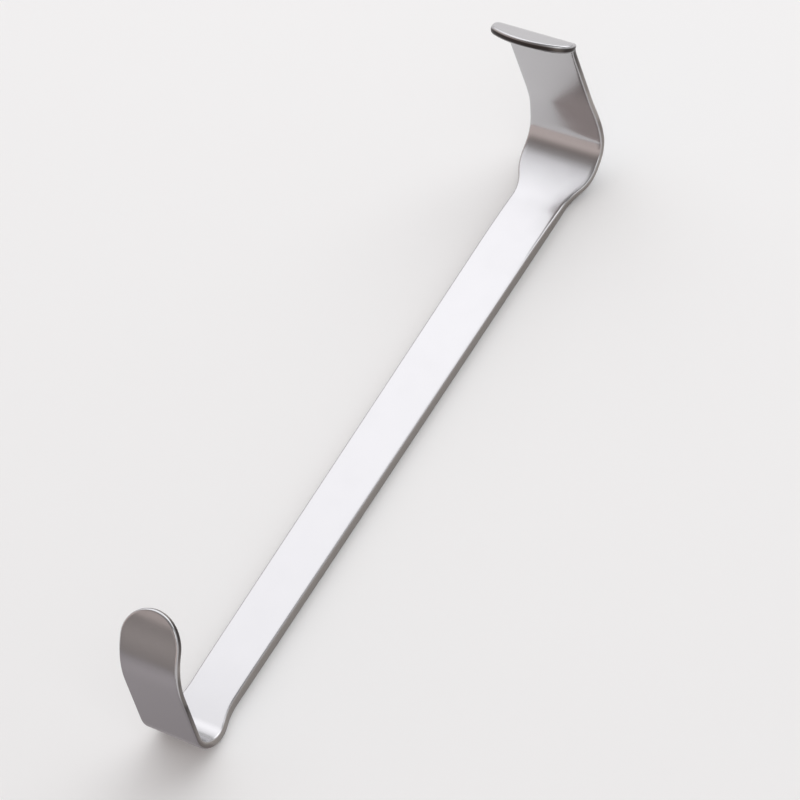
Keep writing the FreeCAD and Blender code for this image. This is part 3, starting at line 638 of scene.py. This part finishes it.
def room_light(studio):
    """White walls, one of them a little warm, that give way to a dimmer ceiling."""
    world = bpy.data.worlds.new("room")
    world.use_nodes = True
    tree = world.node_tree
    tree.nodes.clear()
    smoothly = {"interpolation_type": "SMOOTHSTEP"}
    aim = add_node(tree, "ShaderNodeTexCoord").outputs["Generated"]
    high = add_node(tree, "ShaderNodeSeparateXYZ", None, {0: aim}).outputs[2]
    glow = add_node(tree, "ShaderNodeMapRange", smoothly, {
        "Value": high, "From Min": WALL_TOP, "From Max": CEILING,
        "To Min": studio.wall_light, "To Max": studio.ceiling_light}).outputs[0]
    beyond = add_node(tree, "ShaderNodeVectorMath", {"operation": "DOT_PRODUCT"}, {0: aim, 1: WARM_SIDE})
    warm = add_node(tree, "ShaderNodeMapRange", smoothly, {
        "Value": beyond.outputs["Value"], "From Min": 0.0, "From Max": 0.7}).outputs[0]
    tint = add_node(tree, "ShaderNodeMix", {"data_type": "RGBA"}, {
        0: warm, 6: (*studio.room, 1.0), 7: (*studio.warm_wall, 1.0)}).outputs[2]
    sky = add_node(tree, "ShaderNodeBackground", None, {"Color": tint, "Strength": glow})
    add_node(tree, "ShaderNodeOutputWorld", None, {"Surface": sky.outputs[0]})
    return world


def add_stage(name, corners, material):
    """One flat sheet of the stage, with its corners at -1 and 1 on its own map."""
    mesh = bpy.data.meshes.new(name)
    mesh.from_pydata(corners, [], [(0, 1, 2, 3)])
    flat = mesh.uv_layers.new(name="flat")
    flat.data.foreach_set("uv", [value for corner in SQUARE for value in corner])
    mesh.materials.append(material)
    sheet = bpy.data.objects.new(name, mesh)
    bpy.context.scene.collection.objects.link(sheet)
    return sheet


def add_card(name, centre, towards, extent, strengths, tint, lights):
    """A glowing card out of the camera's sight, which the steel mirrors; one that lights is a softbox, and
    one that lights nothing is a dim patch of painted shade that only the steel's reflections show.
    """
    middle = Vector(centre)
    back = (middle - Vector(towards)).normalized()
    side = Vector((0, 0, 1)).cross(back).normalized()
    up = back.cross(side)
    across, along = side * extent[0] / 2, up * extent[1] / 2
    corners = [tuple(middle + across * a + along * b) for a, b in SQUARE]
    card = add_stage(name, corners, glowing_cloth(name + " cloth", strengths, tint))
    card.visible_camera = card.visible_shadow = False
    card.visible_diffuse = lights


class MakeRetractor(bpy.types.Operator):
    """Cuts the flat strip, bends it and gives it its steel"""

    bl_idname = "retractor.make_strip"
    bl_label = "Retractor"

    def execute(self, context):
        strip = FlatStrip(context.scene.retractor_sizes)
        size = strip.size
        blank = bpy.data.objects.new("blank", flat_blank(strip))
        context.scene.collection.objects.link(blank)
        forming = blank.modifiers.new("forming", "NODES")
        forming.node_group = forming_tree(bend_group())
        # The curl runs on past the tip, so its turn has no end of its own
        bends = {
            "Curl": (strip.curl_start, strip.curl_out, math.pi),
            "Lip": (strip.lip_start, strip.lip_out, size.lip_turn),
            "Hook": (strip.hook_start, strip.hook_out, size.hook_turn),
            "Settle": (strip.settle_start, strip.settle_out, size.settle_turn),
            "Crease": (strip.crease_start, strip.crease_out, size.crease_turn),
            "Ease": (strip.ease_start, strip.ease_out, size.ease_turn),
        }
        values = {"Steel": polished_stainless(context.scene.retractor_finish)}
        for name, bend in bends.items():
            values.update(zip((name + " start", name + " radius", name + " turn"), bend))
        for item in forming.node_group.interface.items_tree:
            if item.name in values and item.in_out == "INPUT":
                forming[item.identifier] = values[item.name]
        context.view_layer.update()
        mesh = bpy.data.meshes.new_from_object(blank.evaluated_get(context.evaluated_depsgraph_get()))
        blank.modifiers.remove(forming)
        bpy.data.objects.remove(blank)
        mesh.name = "polished_strip"
        piece = bpy.data.objects.new("polished_strip", mesh)
        context.scene.collection.objects.link(piece)
        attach(piece, "root")
        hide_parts(PIECE)
        return {"FINISHED"}


class MakeStudio(bpy.types.Operator):
    """Sets the floor, the soft light and the camera"""

    bl_idname = "retractor.make_studio"
    bl_label = "Studio"

    def execute(self, context):
        scene, studio = context.scene, context.scene.retractor_studio
        corners = [(FLOOR_HALF * a, FLOOR_HALF * b, 0) for a, b in SQUARE]
        add_stage("floor", corners, matt_paper(studio))
        scene.world = room_light(studio)
        for card in CARDS:
            add_card(*card)
        camera = bpy.data.cameras.new("camera")
        camera.lens, camera.sensor_width = CAMERA_LENS, CAMERA_SENSOR
        camera.clip_start, camera.clip_end = CAMERA_NEAR, CAMERA_FAR
        eye = bpy.data.objects.new("camera", camera)
        turn = Matrix((CAMERA_RIGHT, -Vector(CAMERA_DOWN), -Vector(CAMERA_AHEAD))).transposed()
        eye.matrix_world = Matrix.Translation(CAMERA_PLACE) @ turn.to_4x4()
        scene.collection.objects.link(eye)
        scene.camera = eye
        scene.view_settings.view_transform = "Standard"
        return {"FINISHED"}


class RetractorPanel(bpy.types.Panel):
    bl_idname = "VIEW3D_PT_retractor"
    bl_label = "Retractor"
    bl_space_type = "VIEW_3D"
    bl_region_type = "UI"
    bl_category = "Retractor"

    def draw(self, context):
        for name, _ in GROUPS:
            group = getattr(context.scene, name)
            box = self.layout.box()
            for prop in group.bl_rna.properties:
                if not prop.is_readonly and prop.identifier != "name":
                    box.prop(group, prop.identifier)
        for operator in OPERATORS:
            self.layout.operator(operator.bl_idname)


GROUPS = (
    ("retractor_sizes", StripSizes),
    ("retractor_finish", SteelFinish),
    ("retractor_studio", StudioSettings),
)
OPERATORS = (MakeRetractor, MakeStudio)


def register():
    for kind in (*[group for _, group in GROUPS], *OPERATORS, RetractorPanel):
        bpy.utils.register_class(kind)
    for name, group in GROUPS:
        setattr(bpy.types.Scene, name, bpy.props.PointerProperty(type=group))


def unregister():
    for name, _ in GROUPS:
        delattr(bpy.types.Scene, name)
    for kind in (RetractorPanel, *OPERATORS[::-1], *[group for _, group in GROUPS[::-1]]):
        bpy.utils.unregister_class(kind)


def main():
    register()
    bpy.ops.retractor.make_strip()
    bpy.ops.retractor.make_studio()


if __name__ == "__main__":
    main()
